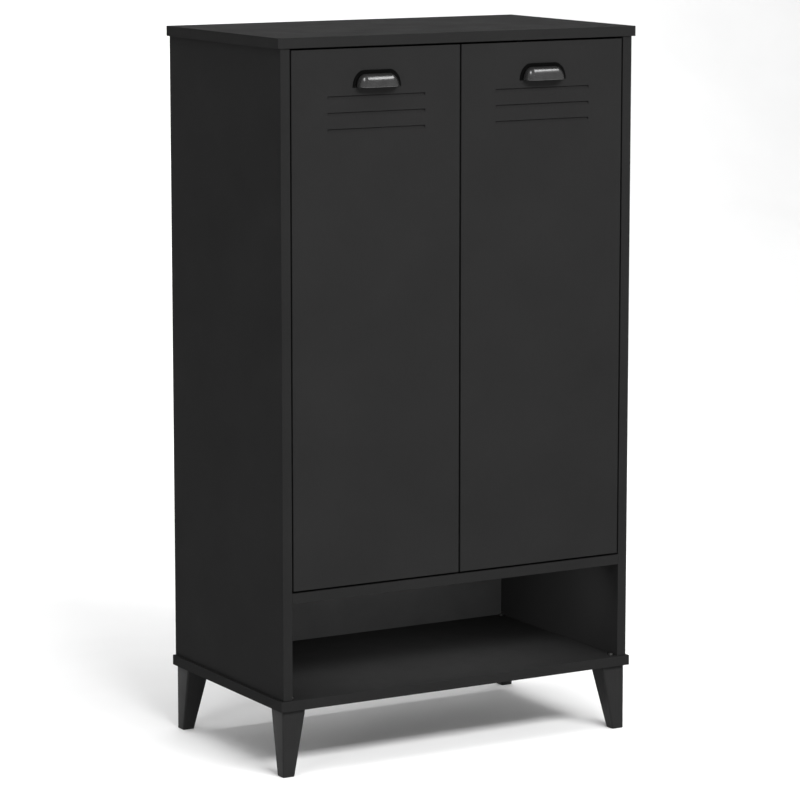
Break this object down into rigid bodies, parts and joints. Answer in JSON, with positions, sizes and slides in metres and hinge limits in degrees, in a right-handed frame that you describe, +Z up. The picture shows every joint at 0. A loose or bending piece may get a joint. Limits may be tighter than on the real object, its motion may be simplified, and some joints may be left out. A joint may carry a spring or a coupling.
{
  "type": "shoe cabinet",
  "caption": "Slim upright shoe cabinet on tapered legs: shelves behind grooved hinged doors with cup pulls, over an open bay",
  "frame": {"origin": "on the floor, under the middle of the bounding box", "axes": "+X to the right along the front, +Y from front to back, +Z up; the doors face -Y"},
  "size_m": [0.6, 0.3642, 1.068],
  "materials": {
    "board": "particleboard with a matte black decor, slightly textured",
    "door": "particleboard with a matte black decor, slightly textured",
    "leg": "satin black lacquer",
    "back": "matte black hardboard",
    "pull": "dark pewter, semi-gloss",
    "steel": "nickel plated",
    "dowel": "bare beech, fluted"
  },
  "bodies": {
    "carcass": {"top_board": "board", "bottom_board": "board", "left_side_panel": "board", "right_side_panel": "board", "fixed_shelf": "board", "shelf_1": "board", "shelf_2": "board", "shelf_3": "board", "shelf_4": "board", "back_panel": "back", "front_left_leg": "leg", "front_right_leg": "leg", "rear_left_leg": "leg", "rear_right_leg": "leg", "leg_screws": "steel", "confirmat_screws": "steel", "cam_locks": "steel", "cam_dowels": "steel", "wood_dowels": "dowel", "shelf_pins": "steel", "left_lower_hinge_arm": "steel", "left_upper_hinge_arm": "steel", "right_lower_hinge_arm": "steel", "right_upper_hinge_arm": "steel", "left_lower_hinge_plate": "steel", "left_upper_hinge_plate": "steel", "right_lower_hinge_plate": "steel", "right_upper_hinge_plate": "steel", "hinge_plate_screws": "steel", "hinge_arm_screws": "steel"},
    "left_door": {"left_door": "door", "left_pull": "pull", "left_pull_screws": "steel", "left_lower_hinge_cup": "steel", "left_upper_hinge_cup": "steel", "left_hinge_pins": "steel", "left_hinge_springs": "steel", "left_cup_screws": "steel"},
    "right_door": {"right_door": "door", "right_pull": "pull", "right_pull_screws": "steel", "right_lower_hinge_cup": "steel", "right_upper_hinge_cup": "steel", "right_hinge_pins": "steel", "right_hinge_springs": "steel", "right_cup_screws": "steel"}
  },
  "joints": [
    {"name": "left_door_hinge", "type": "hinge", "parent": "carcass", "child": "left_door", "pos_m": [-0.266, -0.1591, 0.66225], "axis": [0, 0, -1], "range_deg": [0, 110]},
    {"name": "right_door_hinge", "type": "hinge", "parent": "carcass", "child": "right_door", "pos_m": [0.266, -0.1591, 0.66225], "axis": [0, 0, 1], "range_deg": [0, 110]}
  ]
}
